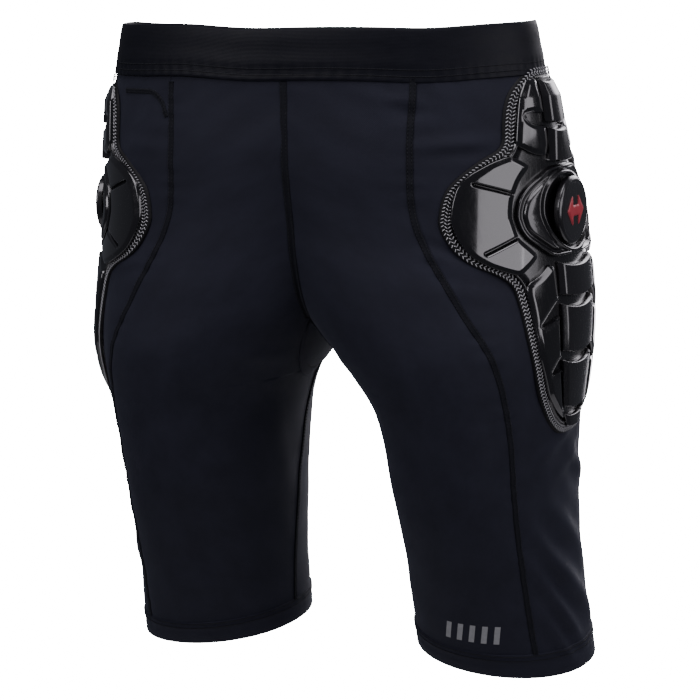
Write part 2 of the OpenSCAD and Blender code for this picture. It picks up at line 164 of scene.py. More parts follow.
def slant(a, z):
    """The last part of the leg slants, so that the hem is lower outside."""
    k = np.maximum(0, (CROTCH - 60 - z) / (CROTCH - 60 - HEM_Z))
    return z - k**2 * (HEM_DROP * np.cos(np.radians(a)) - np.sin(np.radians(a)))


def arc_length(a, z):
    """Distance in mm from the side line, about the same all over the body."""
    return np.radians(a) * ellipse(z)[3]


# ---- folds and puckers of the fabric --------------------------------------------------------
# Creases: side, start and end as [angle, height], width and height in mm.
CREASES = (
    (1, (-68, -87), (-38, -84), 5, 1.1), (1, (-60, -92), (-40, -91), 4, -0.8),
    (1, (-69, -163), (-50, -176), 5, 1.3), (1, (-66, -172), (-47, -186), 5, 1.1),
    (1, (-70, -150), (-58, -166), 4, -0.9), (1, (-64, -184), (-45, -196), 6, 0.9),
    (1, (-70, -52), (-58, -55), 4, 1.2), (1, (-68, -62), (-56, -60), 4, -0.6),
    (1, (-34, -318), (-2, -300), 7, 1.6), (1, (-24, -336), (12, -312), 8, 1.4),
    (1, (-42, -366), (-4, -440), 8, 3.0), (1, (-44, -396), (-8, -474), 7, 2.8),
    (1, (-44, -430), (-22, -486), 6, 2.2), (1, (-26, -356), (14, -410), 9, 2.4),
    (1, (-20, -400), (16, -462), 9, 2.4), (1, (-6, -322), (22, -352), 8, 2.4),
    (-1, (-66, -168), (-50, -178), 5, 1.0), (-1, (-64, -88), (-44, -84), 5, 0.8),
    (-1, (-40, -330), (-8, -350), 9, 1.4), (-1, (-44, -400), (-6, -440), 9, 1.5),
    (1, (100, -236), (60, -262), 9, 1.6), (1, (120, -248), (70, -284), 10, 1.5),
    (1, (96, -212), (56, -236), 9, 1.0), (-1, (100, -236), (60, -262), 9, 1.6),
    (-1, (122, -246), (74, -280), 10, 1.4), (-1, (60, -392), (20, -430), 9, 1.6),
    (1, (70, -380), (24, -420), 10, 1.6), (1, (66, -420), (30, -458), 9, 1.3),
    (-1, (-150, -250), (-118, -238), 6, 0.9), (1, (-150, -250), (-118, -238), 6, 0.9),
)


def segment_distance(px, py, a, b):
    """Distance from points to the segment a-b, and how far along it they lie, 0 to 1."""
    d = np.subtract(b, a)
    t = np.clip(((px - a[0]) * d[0] + (py - a[1]) * d[1]) / (d @ d), 0, 1)
    return np.hypot(px - a[0] - t * d[0], py - a[1] - t * d[1]), t


def relief(side, a, z):
    """How far the fabric stands out of the body surface, in mm."""
    s = arc_length(a, z)
    out = 0.5 * np.sin(s / 21 + z / 33 + side) * np.sin(z / 27 - s / 40)
    out += 0.25 * np.sin(s / 9.5 + z / 14 + 2 * side) * np.sin(z / 11 - s / 17)
    for where, start, end, width, height in CREASES:
        if where != side:
            continue
        p = (float(arc_length(start[0], start[1])), start[1])
        q = (float(arc_length(end[0], end[1])), end[1])
        d, t = segment_distance(s, z, p, q)
        ridge = np.exp(-(d / width)**2) - 0.35 * np.exp(-((d - 1.6 * width) / width)**2)
        out += height * ridge * np.clip(np.sin(np.pi * (0.08 + 0.84 * t)), 0, 1)
    line = along(FRONT_LINE, z)
    for seam in (-line, line):
        gap = np.abs(s - arc_length(seam, z))
        out += 0.35 * np.exp(-gap / 7) * np.sin(z / 2.6 + 2 * np.sin(z / 9))
        out -= 0.5 * np.exp(-(gap / 5)**2)
    below = np.clip((-BAND - z) / 16, 0, None)
    out += 0.7 * np.exp(-below) * np.sin(s / 2.9 + 1.5 * np.sin(s / 13))
    covered = z + 17 * np.clip(np.sin(np.radians(a)), 0, 1)
    out *= np.interp(covered, (-50, -41), (1.0, 0.1))
    return out * np.clip((z - HEM_Z + 2) / 30, 0.25, 1)


# ---- making meshes --------------------------------------------------------------------------
def put_in_scene(name, data):
    obj = bpy.data.objects.new(name, data)
    bpy.context.scene.collection.objects.link(obj)
    return obj


def make_piece(name, points, faces, material, node, uv=None):
    """A mesh object from points in mm; it stands for one CAD node and rides on the root."""
    mesh = bpy.data.meshes.new(name)
    mesh.from_pydata((np.asarray(points) * MM).tolist(), [], faces)
    mesh.validate()
    if uv is not None:
        layer = mesh.uv_layers.new(name="cloth")
        index = np.empty(len(mesh.loops), int)
        mesh.loops.foreach_get("vertex_index", index)
        layer.data.foreach_set("uv", np.asarray(uv, float)[index].ravel())
    mesh.polygons.foreach_set("use_smooth", [True] * len(mesh.polygons))
    obj = put_in_scene(name, mesh)
    mesh.materials.append(material)
    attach(obj, ROOT)
    if node:
        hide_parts(node)
    return obj


def grid_faces(rows, columns, wrap=False, offset=0):
    faces = []
    last = columns if wrap else columns - 1
    for r in range(rows - 1):
        for c in range(last):
            p = offset + r * columns + c
            q = offset + r * columns + (c + 1) % columns
            faces.append((p, q, q + columns, p + columns))
    return faces


def flipped(faces, side):
    return faces if side > 0 else [f[::-1] for f in faces]


def placed(points, side):
    """Points of the left half, moved to the wanted side."""
    return points * np.array([side, 1, 1])


def thicken(obj, thickness):
    solid = obj.modifiers.new("thickness", "SOLIDIFY")
    solid.thickness = thickness * MM
    solid.offset = -1
    return obj


# ---- materials ------------------------------------------------------------------------------
def new_material(name, colour, roughness, **sockets):
    """A Principled material; extra sockets are set by their names with spaces as underscores."""
    mat = bpy.data.materials.new(name)
    mat.use_nodes = True
    shader = mat.node_tree.nodes["Principled BSDF"]
    shader.inputs["Base Color"].default_value = (*colour, 1)
    shader.inputs["Roughness"].default_value = roughness
    for key, value in sockets.items():
        shader.inputs[key.replace("_", " ")].default_value = value
    return mat, mat.node_tree, shader


def add_node(tree, kind, **values):
    """Add a shader node; values are attributes, or inputs when the name is not an attribute."""
    made = tree.nodes.new(kind)
    for key, value in values.items():
        if hasattr(made, key):
            setattr(made, key, value)
        else:
            made.inputs[key.replace("_", " ")].default_value = value
    return made


def scaled(tree, vector, scale):
    mapping = add_node(tree, "ShaderNodeMapping", Scale=scale)
    tree.links.new(vector, mapping.inputs["Vector"])
    return mapping.outputs["Vector"]


def texture(tree, kind, vector, **values):
    """The value of a Noise or Wave texture at the vector."""
    made = add_node(tree, f"ShaderNodeTex{kind}", **values)
    tree.links.new(vector, made.inputs["Vector"])
    return made.outputs["Fac"]


def bump(tree, shader, heights, strength, distance):
    """Chain bump nodes, one for each height socket, into the shader's normal."""
    normal = None
    for height, power, depth in zip(heights, strength, distance):
        made = add_node(tree, "ShaderNodeBump", Strength=power, Distance=depth)
        tree.links.new(height, made.inputs["Height"])
        if normal is not None:
            tree.links.new(normal, made.inputs["Normal"])
        normal = made.outputs["Normal"]
    tree.links.new(normal, shader.inputs["Normal"])


def ramp(tree, factor, low, high, start=0.0, end=1.0):
    made = add_node(tree, "ShaderNodeMapRange", From_Min=start, From_Max=end, To_Min=low,
                    To_Max=high)
    tree.links.new(factor, made.inputs["Value"])
    return made.outputs["Result"]


def mix_colour(tree, shader, factor, first, second):
    made = add_node(tree, "ShaderNodeMix", data_type="RGBA")
    made.inputs[6].default_value = (*first, 1)
    made.inputs[7].default_value = (*second, 1)
    tree.links.new(factor, made.inputs[0])
    tree.links.new(made.outputs[2], shader.inputs["Base Color"])


def fabric_material(name, dark, light, roughness, courses, sheen):
    """Warp-knit stretch cloth: fine wales and courses, cloudy colour, soft sheen at the edges."""
    mat, tree, shader = new_material(name, dark, roughness, Sheen_Weight=sheen,
                                     Sheen_Roughness=0.45, Specular_IOR_Level=0.15)
    shader.inputs["Sheen Tint"].default_value = (0.62, 0.68, 0.85, 1)
    uv = add_node(tree, "ShaderNodeUVMap", uv_map="cloth").outputs["UV"]
    wales = texture(tree, "Wave", uv, bands_direction="X", Scale=courses, Distortion=0.6,
                    Detail=1.0)
    rows = texture(tree, "Wave", uv, bands_direction="Y", Scale=courses * 1.3, Distortion=1.2,
                   Detail=1.0)
    knit = add_node(tree, "ShaderNodeMath", operation="MULTIPLY")
    tree.links.new(wales, knit.inputs[0])
    tree.links.new(rows, knit.inputs[1])
    cloud = texture(tree, "Noise", uv, Scale=38.0, Detail=6.0, Roughness=0.6)
    blend = add_node(tree, "ShaderNodeMath", operation="MULTIPLY_ADD")
    tree.links.new(knit.outputs[0], blend.inputs[0])
    blend.inputs[1].default_value = 0.35
    tree.links.new(ramp(tree, cloud, 0.0, 0.65, 0.3, 0.7), blend.inputs[2])
    mix_colour(tree, shader, blend.outputs[0], dark, light)
    tree.links.new(ramp(tree, cloud, roughness - 0.06, roughness + 0.08),
                   shader.inputs["Roughness"])
    bump(tree, shader, (knit.outputs[0], cloud), (0.35, 0.12), (0.0002, 0.002))
    return mat


def elastic_material():
    """Satin woven elastic: fine lengthwise ribs and a thin cross weave."""
    dark, light = (0.0017, 0.0019, 0.0042), (0.0034, 0.0038, 0.0076)
    mat, tree, shader = new_material("satin_elastic", dark, 0.42, Sheen_Weight=0.02,
                                     Sheen_Roughness=0.35, Specular_IOR_Level=0.13,
                                     Anisotropic=0.5)
    uv = add_node(tree, "ShaderNodeUVMap", uv_map="cloth").outputs["UV"]
    ribs = texture(tree, "Wave", uv, bands_direction="Y", Scale=330.0, Distortion=0.3)
    cross = texture(tree, "Wave", uv, bands_direction="X", Scale=260.0, Distortion=0.8)
    cloud = texture(tree, "Noise", scaled(tree, uv, (1, 4, 1)), Scale=60.0, Detail=5.0)
    mix_colour(tree, shader, cloud, dark, light)
    tree.links.new(ramp(tree, cloud, 0.4, 0.54), shader.inputs["Roughness"])
    bump(tree, shader, (ribs, cross), (0.2, 0.12), (0.0002, 0.00015))
    return mat


def thread_material(name, dark, light):
    """Twisted polyester thread, with a little change of shade along its length."""
    mat, tree, shader = new_material(name, dark, 0.7, Specular_IOR_Level=0.2)
    place = add_node(tree, "ShaderNodeTexCoord").outputs["Object"]
    noise = texture(tree, "Noise", place, Scale=900.0, Detail=3.0)
    twist = texture(tree, "Wave", place, bands_direction="DIAGONAL", Scale=1400.0)
    mix_colour(tree, shader, noise, dark, light)
    bump(tree, shader, (twist,), (0.4,), (0.0001,))
    return mat


def gloss_material(name, colour, roughness, coat, grain):
    """Moulded polyurethane with a clear skin, faint flow marks and fine handling scratches."""
    mat, tree, shader = new_material(name, colour, roughness, Coat_Weight=coat,
                                     Coat_Roughness=0.05, Specular_IOR_Level=0.6)
    place = add_node(tree, "ShaderNodeTexCoord").outputs["Object"]
    flow = texture(tree, "Noise", place, Scale=14.0, Detail=3.0)
    fine = texture(tree, "Noise", place, Scale=1500.0, Detail=2.0)
    scratch = texture(tree, "Noise", scaled(tree, place, (0.4, 6, 1)), Scale=90.0, Detail=8.0,
                      Roughness=0.75)
    tree.links.new(ramp(tree, scratch, roughness, roughness + 0.12, 0.45, 0.75),
                   shader.inputs["Roughness"])
    lighter = tuple(1.4 * c + 0.0012 for c in colour)
    mix_colour(tree, shader, ramp(tree, scratch, 0, 1, 0.5, 0.9), colour, lighter)
    bump(tree, shader, (flow, fine), (0.18, grain), (0.0012, 0.00008))
    return mat


def print_material(name, dark, light, roughness=0.42, specular=0.45):
    """Rubbery raised print, a little worn and uneven."""
    mat, tree, shader = new_material(name, dark, roughness, Specular_IOR_Level=specular)
    place = add_node(tree, "ShaderNodeTexCoord").outputs["Object"]
    noise = texture(tree, "Noise", place, Scale=420.0, Detail=6.0)
    mix_colour(tree, shader, noise, dark, light)
    bump(tree, shader, (noise,), (0.3,), (0.0002,))
    return mat


ROOT = next(iter(frame["bodies"]))
CLOTH = fabric_material("stretch_knit", (0.0076, 0.0081, 0.0146), (0.0142, 0.0151, 0.0252),
                        0.72, 420.0, 0.06)
ELASTIC = elastic_material()
SEAM = fabric_material("seam_tape", (0.0028, 0.0031, 0.0052), (0.0056, 0.0062, 0.0098), 0.75,
                       700.0, 0.05)
THREAD = thread_material("dark_thread", (0.0034, 0.0038, 0.006), (0.0072, 0.008, 0.0115))
PAD_THREAD = thread_material("grey_thread", (0.24, 0.24, 0.25), (0.5, 0.5, 0.51))
GLOSS = gloss_material("moulded_gloss", (0.004, 0.0038, 0.0046), 0.1, 0.6, 0.03)
SATIN = gloss_material("moulded_satin", (0.006, 0.0056, 0.0066), 0.2, 0.3, 0.08)
RUBBER = gloss_material("backing_rubber", (0.004, 0.0038, 0.0046), 0.24, 0.2, 0.08)
MATTE = print_material("stitched_edge", (0.0025, 0.0026, 0.0032), (0.005, 0.0051, 0.006),
                       0.65, 0.2)
RED = print_material("red_print", (0.26, 0.016, 0.026), (0.38, 0.032, 0.045))
GREY = print_material("grey_print", (0.16, 0.165, 0.17), (0.27, 0.27, 0.28))


# ---- fabric panels --------------------------------------------------------------------------
PANEL_TOP = -BAND + 10
PANEL_BOTTOM = HEM_Z + 1
COLUMNS = 64


def panel_rows():
    crotch_rows = gusset_edge(np.linspace(1, 0, 46))
    above = np.linspace(PANEL_TOP, GUSSET_FRONT, 74)[:-1]
    below = np.linspace(GUSSET_LOW, PANEL_BOTTOM, 100)[1:]
    return np.concatenate([above, crotch_rows, below])


def panel(name, side, start, end):
    """A sewn panel between two seam lines, given as the angles at each height."""
    heights = panel_rows()
    share = np.linspace(0, 1, COLUMNS)
    a = start(heights)[:, None] + (end(heights) - start(heights))[:, None] * share
    z = np.broadcast_to(heights[:, None], a.shape)
    points = on_body(a, slant(a, z), relief(side, a, z))
    uv = np.stack([arc_length(a, z), z], -1).reshape(-1, 2) * MM
    faces = flipped(grid_faces(len(heights), COLUMNS), -side)
    piece = make_piece(name, placed(points, side).reshape(-1, 3), faces, CLOTH,
                       name.replace("sewn_", ""), uv)
    thicken(piece, 0.9)


def leg_panels(side, word):
    panel(f"sewn_front_panel_{word}", side, lambda z: inner_angle(z, -1),
          lambda z: -along(FRONT_LINE, z))
    panel(f"sewn_side_panel_{word}", side, lambda z: -along(FRONT_LINE, z),
          lambda z: along(FRONT_LINE, z))
    panel(f"sewn_back_panel_{word}", side, lambda z: along(FRONT_LINE, z),
          lambda z: inner_angle(z, 1))


for side, word in SIDES:
    leg_panels(side, word)


# ---- stitching ------------------------------------------------------------------------------
SEAM_PITCH = 2.7


def capsule(radius, length, around=6):
    """One stitch along X: rings of a rounded thread that dips into the cloth at both ends."""
    rings = []
    for x, r, z in ((-0.5, 0.35, -0.5), (-0.36, 0.95, 0.05), (0, 1.0, 0.3), (0.36, 0.95, 0.05),
                    (0.5, 0.35, -0.5)):
        angle = np.linspace(0, 2 * np.pi, around, endpoint=False)
        rings.append(np.stack([np.full(around, x * length), radius * r * np.cos(angle),
                               radius * (r * np.sin(angle) + z)], -1))
    points = np.concatenate(rings)
    faces = grid_faces(5, around, wrap=True)
    faces.append(tuple(range(around - 1, -1, -1)))
    faces.append(tuple(range(4 * around, 5 * around)))
    return points, faces


class Stitches:
    """Collects stitches and makes them one mesh."""

    def __init__(self, radius=0.32, length=2.1):
        self.base, self.base_faces = capsule(radius, length)
        self.points, self.faces, self.count = [], [], 0

    def add(self, at, along_line, out):
        """One stitch at each point, along its line and standing on its outward normal."""
        x = along_line / np.linalg.norm(along_line, axis=1)[:, None]
        z = out - (out * x).sum(1)[:, None] * x
        z /= np.linalg.norm(z, axis=1)[:, None]
        y = np.cross(z, x)
        frames = np.stack([x, y, z], 1)
        self.points.append((at[:, None, :] + np.einsum("pk,nkc->npc", self.base, frames))
                           .reshape(-1, 3))
        size = len(self.base)
        for i in range(len(at)):
            shift = self.count + i * size
            self.faces.extend(tuple(v + shift for v in f) for f in self.base_faces)
        self.count += len(at) * size

    def row(self, line, out, pitch, closed=False):
        """Stitches at an even pitch along a line, with its outward directions."""
        place, direction = resample(np.hstack([line, out]), pitch, closed)
        self.add(place[:, :3], direction, place[:, 3:])

    def build(self, name, material=None, node_name=None, slot="thread"):
        make_piece(name, np.concatenate(self.points), self.faces, material or THREAD, node_name)


def resample(points, pitch, closed=False):
    """Points at an even pitch along a line, with the line's direction at each."""
    line = np.vstack([points, points[:1]]) if closed else points
    length = run_length(line)
    count = max(int(length[-1] / pitch), 2)
    at = (np.arange(count) + 0.5) * length[-1] / count
    place = np.stack([np.interp(at, length, line[:, k]) for k in range(line.shape[1])], -1)
    ahead = np.stack([np.interp(at + 0.1, length, line[:, k]) for k in range(3)], -1)
    behind = np.stack([np.interp(at - 0.1, length, line[:, k]) for k in range(3)], -1)
    return place, ahead - behind


def surface_line(side, a, z, lift):
    """Points on the fabric at angles and heights, with outward directions beside them."""
    bottom = slant(a, z)
    at = on_body(a, bottom, relief(side, a, z) + lift)
    out = on_body(a, bottom, 1.0) - on_body(a, bottom, 0.0)
    return placed(at, side), placed(out, side)


def run_length(line):
    """Distance along a line of points, at each of them."""
    return np.concatenate([[0], np.cumsum(np.linalg.norm(np.diff(line, axis=0), axis=1))])


def closed_tube(n, m):
    """Faces of n rings with m points each, with a cap on both ends."""
    return grid_faces(n, m, wrap=True) + [tuple(range(m)),
                                          tuple(range(n * m - 1, (n - 1) * m - 1, -1))]


def ribbon(name, side, a, z, width, node_name, rows=(-1.5, 1.5)):
    """A flatlock seam: a low rounded tape on the fabric, with rows of stitches along it."""
    rise = 0.55
    centre, out = surface_line(side, a, z, 0.25)
    run = np.gradient(centre, axis=0)
    across = np.cross(run, out)
    across /= np.linalg.norm(across, axis=1)[:, None]
    out /= np.linalg.norm(out, axis=1)[:, None]
    section = [(-0.5, -0.6), (-0.5, 0.15), (-0.4, 0.8), (-0.2, 1.0), (0, 0.82), (0.2, 1.0),
               (0.4, 0.8), (0.5, 0.15), (0.5, -0.6)]
    points = np.stack([centre + across * width * x + out * rise * y for x, y in section], 1)
    n, m = points.shape[:2]
    length = run_length(centre)
    uv = np.stack([np.tile(np.arange(m) * width / 6, (n, 1)),
                   np.tile(length[:, None], (1, m))], -1).reshape(-1, 2) * MM
    make_piece(name, points.reshape(-1, 3), closed_tube(n, m), SEAM, node_name, uv)
    thread = Stitches()
    for offset in rows:
        thread.row(centre + across * offset + out * rise, out, SEAM_PITCH)
    thread.build(f"{name}_thread")


SEAM_BOTTOM = HEM_Z + HEM - 2


def leg_seams(side, word):
    """The front seam, the back seam and the inseam of one leg."""
    heights = np.linspace(-BAND - 0.5, SEAM_BOTTOM, 240)
    for name, way in (("front", -1), ("back", 1)):
        ribbon(f"flatlock_{name}_{word}", side, way * along(FRONT_LINE, heights), heights, 5,
               f"{name}_seam_{word}")
    heights = np.linspace(GUSSET_LOW + 6, SEAM_BOTTOM, 150)
    ribbon(f"flatlock_inseam_{word}", side, -along(INSEAM_LINE, heights), heights, 4.4,
           f"inseam_{word}", rows=(-1.2, 1.2))


def yoke_seam():
    """A short seam below the band at the wearer's right hip, which bends into the front seam."""
    a = np.linspace(-35, -60.6, 70)
    bend = np.clip((-50 - a) / 10.6, 0, 1)
    ribbon("flatlock_yoke_right", -1, a, -46 - 18 * bend**2.2, 4, None, rows=(-1, 1))


for side, word in SIDES:
    leg_seams(side, word)
yoke_seam()


def middle_seam(name, way, node_name):
    """The centre seam lies in the valley between the two halves, and bends to follow it."""
    heights = np.linspace(-BAND - 0.5, GUSSET_FRONT + 1, 170)
    width = 5.6
    columns = np.linspace(-1, 1, 11)
    rows = []
    for x in columns * width / 2:
        cx, hx, _, _ = ellipse(heights)
        a = way * np.degrees(np.arccos(np.clip((abs(x) - cx) / hx, -1, 1)))
        at = on_body(a, heights, relief(1, a, heights) * min(1, abs(x) / 3))
        at[:, 0] = x
        at[:, 1] += way * (0.75 - 0.5 * (2 * abs(x) / width)**6)
        rows.append(at)
    points = np.stack(rows, 1)
    n, m = points.shape[:2]
    inside = points.copy()
    inside[..., 1] -= way * 1.2
    loop = np.concatenate([points, inside[:, ::-1]], 1)
    uv = np.stack([np.tile(np.arange(2 * m) * 0.6, (n, 1)),
                   np.tile(-heights[:, None], (1, 2 * m))], -1).reshape(-1, 2) * MM
    make_piece(name, loop.reshape(-1, 3), flipped(closed_tube(n, 2 * m), -way), SEAM,
               node_name, uv)
    thread = Stitches()
    for column in (2, 8):
        thread.row(points[:, column], np.tile([0.0, way, 0.0], (n, 1)), SEAM_PITCH)
    thread.build(f"{name}_thread")


middle_seam("flatlock_centre_front", -1, "centre_front_seam")
middle_seam("flatlock_centre_back", 1, "centre_back_seam")


# ---- waistband, hems and gusset ---------------------------------------------------------------
def waist_ring(z, lift, count=260):
    """Closed loop round the waist, in mm."""
    limit = float(middle_angle(np.array(z)))
    half = on_body(np.linspace(-limit, limit, count), np.full(count, float(z)), lift)
    other = half[-2:0:-1] * np.array([-1, 1, 1])
    return np.vstack([half, other])


def around_length(ring):
    steps = np.linalg.norm(np.roll(ring, -1, 0) - ring, axis=1)
    return np.concatenate([[0], np.cumsum(steps)[:-1]])


def ring_piece(name, section, loop, material, node_name):
    """Sweep a closed section of (height, lift) pairs round loops of the same length."""
    rings = [loop(z, lift) for z, lift in section]
    n = len(rings[0])
    points = np.concatenate(rings + rings[:1])[:len(section) * n]
    faces = grid_faces(len(section), n, wrap=True)
    last = (len(section) - 1) * n
    faces += [(last + c, last + (c + 1) % n, (c + 1) % n, c) for c in range(n)]
    u = around_length(rings[0])
    uv = np.concatenate([np.stack([u, np.full(n, z + 50.0 * (lift < 0))], -1)
                         for z, lift in section]) * MM
    return make_piece(name, points, faces, material, node_name, uv)


def band_section(top, bottom, thick, edge=1.0):
    """Rounded strip: down the outside, round the lower edge and back up the inside."""
    outside = [(top - edge * k, thick * f) for k, f in ((0, 0.35), (0.3, 0.75), (1.0, 1.0))]
    outside += [(z, thick + 0.12 * math.sin(k)) for k, z in
                enumerate(np.linspace(top - 3, bottom + 3, 12))]
    outside += [(bottom + edge, thick), (bottom + 0.3 * edge, thick * 0.75),
                (bottom, thick * 0.3)]
    inside = [(z, -thick) for z in np.linspace(bottom + 0.6, top - 0.6, 8)]
    return outside + inside


# Rows of stitching round the waistband: height, and how far the row draws the band in.
BAND_STITCHES = ((-29, 0.35), (-33.5, 0.4))


def band_loop(z, lift):
    """The waistband: its stitching draws it in, its back dips, and it tilts and waves a little."""
    ring = waist_ring(z, 0)
    turn = np.linspace(0, 2 * np.pi, len(ring), endpoint=False)
    pull = sum(depth * math.exp(-((z - row) / 2.2)**2) for row, depth in BAND_STITCHES)
    ripple = 0.25 * np.sin(95 * turn) * math.exp(-((z + 33) / 5)**2)
    roll = 0.5 * math.exp(z / 2.5)
    wave = 0.6 * np.sin(5 * turn + 1) * np.clip(-z / 38, 0, 1)
    out = ring.copy()
    away = out[:, :2] / np.linalg.norm(out[:, :2] - [0, -8], axis=1)[:, None]
    out[:, :2] += away * (lift - np.sign(lift) * (pull + roll) + ripple)[:, None]
    front = np.clip(-away[:, 1], 0, 1)
    behind = np.clip(away[:, 1], 0, 1)
    bend = np.exp(-((out[:, 0] - 30) / 40)**2) - 3.0 * np.exp(-((out[:, 0] - 110) / 30)**2)
    bend += 4.0 * np.exp(-((out[:, 0] + 92) / 42)**2)
    out[:, 2] += 0.3 * wave + 0.8 + (bend - 1.9) * front - 17.0 * behind - 0.017 * out[:, 0]
    return out


waistband = ring_piece("satin_waistband", band_section(0, -BAND, 1.6), band_loop, ELASTIC,
                       "waistband")


def ring_stitches(name, rings, node_name, pitch=2.9):
    """Rows of stitches round closed loops; the way out is level, away from the loop's middle."""
    thread = Stitches(0.34, 2.2)
    for ring in rings:
        out = ring - ring.mean(0)
        out[:, 2] = 0
        thread.row(ring, out, pitch, closed=True)
    thread.build(name, THREAD, node_name)


ring_stitches("waistband_twin_needle", [band_loop(z, 1.75) for z, _ in BAND_STITCHES],
              "waistband_stitching")


def hem_loop(side):
    def loop(z, lift):
        a = np.linspace(0, 360, 240, endpoint=False)
        height = np.full(len(a), float(z))
        wave = 0.5 * np.sin(np.radians(a * 3 + 40 * side)) * np.clip((-z + HEM_Z + 20) / 20, 0, 1)
        at = on_body(a, slant(a, height) + 0.6 * wave, lift + relief(side, wrapped(a), height))
        return placed(at, side)
    return loop


def wrapped(a):
    """Angles as the panels count them, so that folds run on across the hem."""
    return np.where(a > 180, a - 360, a)


def hem(side, word):
    loop = hem_loop(side)
    made = ring_piece(f"turned_hem_{word}", band_section(HEM_Z + HEM, HEM_Z, 0.75, 0.8), loop,
                      CLOTH, f"hem_band_{word}")
    ring_stitches(f"hem_coverstitch_{word}", [loop(HEM_Z + HEM - 1.6, 0.95),
                                              loop(HEM_Z + HEM - 5.2, 0.95)],
                  f"hem_stitching_{word}", 2.6)


for side, word in SIDES:
    hem(side, word)


def gusset():
    """A small diamond under the crotch; its edges run on a little under the leg panels."""
    across = np.linspace(-1.15, 1.15, 71)
    under = np.clip(np.abs(across) - 1, 0, None)
    rows = []
    for p in np.linspace(-1, 1, 61):
        top = gusset_middle(p)
        a = float(np.sign(p) or 1) * float(middle_angle(np.array(top)))
        z = top - np.abs(across) * (top - gusset_edge(p)) - 24 * under
        at = on_body(np.full(71, a), z, 0.35 - 10 * under)
        at[:, 0] = np.sign(across) * np.maximum(at[:, 0], 0.0)
        at[:, 2] -= 0.5
        rows.append(at)
    points = np.stack(rows)
    uv = points[..., [0, 1]].reshape(-1, 2) * MM
    piece = make_piece("sewn_gusset", points.reshape(-1, 3), grid_faces(61, 71), CLOTH, "gusset",
                       uv)
    thicken(piece, 0.8)


def gusset_seam(side, word):
    share = np.linspace(-1, 1, 81)
    a = np.where(share < 0, -1, 1) * middle_angle(gusset_middle(share))
    ribbon(f"flatlock_gusset_{word}", side, a, gusset_edge(share), 4, None, rows=(-1.1, 1.1))


gusset()
for side, word in SIDES:
    gusset_seam(side, word)


# ---- the hip pads ---------------------------------------------------------------------------
# Outlines are [w, z] in mm: w is the distance forward of the pad's middle line, z the height.
PAD_LEAD = 17.0
PAD_LEAN = 0.14
DISC_Z = -139.0
DISC_RADIUS = 25.0
DISC_TURN = math.radians(8)


def on_pad(side, w, z, lift):
    middle = PAD_LEAD - PAD_LEAN * np.maximum(0, z - DISC_Z)
    a = -np.degrees((w + middle) / ellipse(z)[3])
    return placed(on_body(a, z, lift), side)


def evenly(loop, pitch):
    """A closed outline in the plane at an even pitch."""
    line = np.vstack([loop, loop[:1]])
    length = run_length(line)
    at = np.linspace(0, length[-1], max(int(length[-1] / pitch), 12), endpoint=False)
    return np.stack([np.interp(at, length, line[:, k]) for k in (0, 1)], -1)


def rounded(corners, radius, pitch=1.1):
    """A closed outline with rounded corners; radius is how far each bend reaches."""
    corners = np.array(corners, float)
    t = np.linspace(0, 1, 9)[:, None]
    points = []
    for before, corner, after in zip(np.roll(corners, 1, 0), corners, np.roll(corners, -1, 0)):
        u, v = before - corner, after - corner
        reach = min(radius, 0.48 * np.linalg.norm(u), 0.48 * np.linalg.norm(v))
        p = corner + u / np.linalg.norm(u) * reach
        q = corner + v / np.linalg.norm(v) * reach
        points.append((1 - t)**2 * p + 2 * t * (1 - t) * corner + t**2 * q)
    return evenly(np.concatenate(points), pitch)


def depth_in(points, loop):
    """Distance of points from a closed outline, positive inside it."""
    a, d = loop, np.roll(loop, -1, 0) - loop
    out = np.empty(len(points))
    for start in range(0, len(points), 4000):
        p = points[start:start + 4000, None]
        t = np.clip(((p - a) * d).sum(-1) / (d * d).sum(-1), 0, 1)
        gap = np.linalg.norm(p - a - t[..., None] * d, axis=-1).min(1)
        crosses = (a[:, 1] > p[..., 1]) != (a[:, 1] + d[:, 1] > p[..., 1])
        rise = np.where(np.abs(d[:, 1]) < 1e-9, 1e-9, d[:, 1])
        left = p[..., 0] < a[:, 0] + (p[..., 1] - a[:, 1]) * d[:, 0] / rise
        inside = (crosses & left).sum(1) % 2 == 1
        out[start:start + 4000] = np.where(inside, gap, -gap)
    return out


def inward(loop, distance):
    """The outline moved inwards, whichever way round it runs."""
    ahead = np.roll(loop, -1, 0) - np.roll(loop, 1, 0)
    normal = np.stack([-ahead[:, 1], ahead[:, 0]], -1)
    normal /= np.linalg.norm(normal, axis=1)[:, None]
    x, z = loop.T
    turn = np.sum(x * np.roll(z, -1) - z * np.roll(x, -1))
    return loop + normal * distance * (1 if turn > 0 else -1)


def groove_distance(points, grooves):
    gap = np.full(len(points), 1e3)
    for p, q in grooves:
        gap = np.minimum(gap, segment_distance(points[:, 0], points[:, 1], p, q)[0])
    return gap


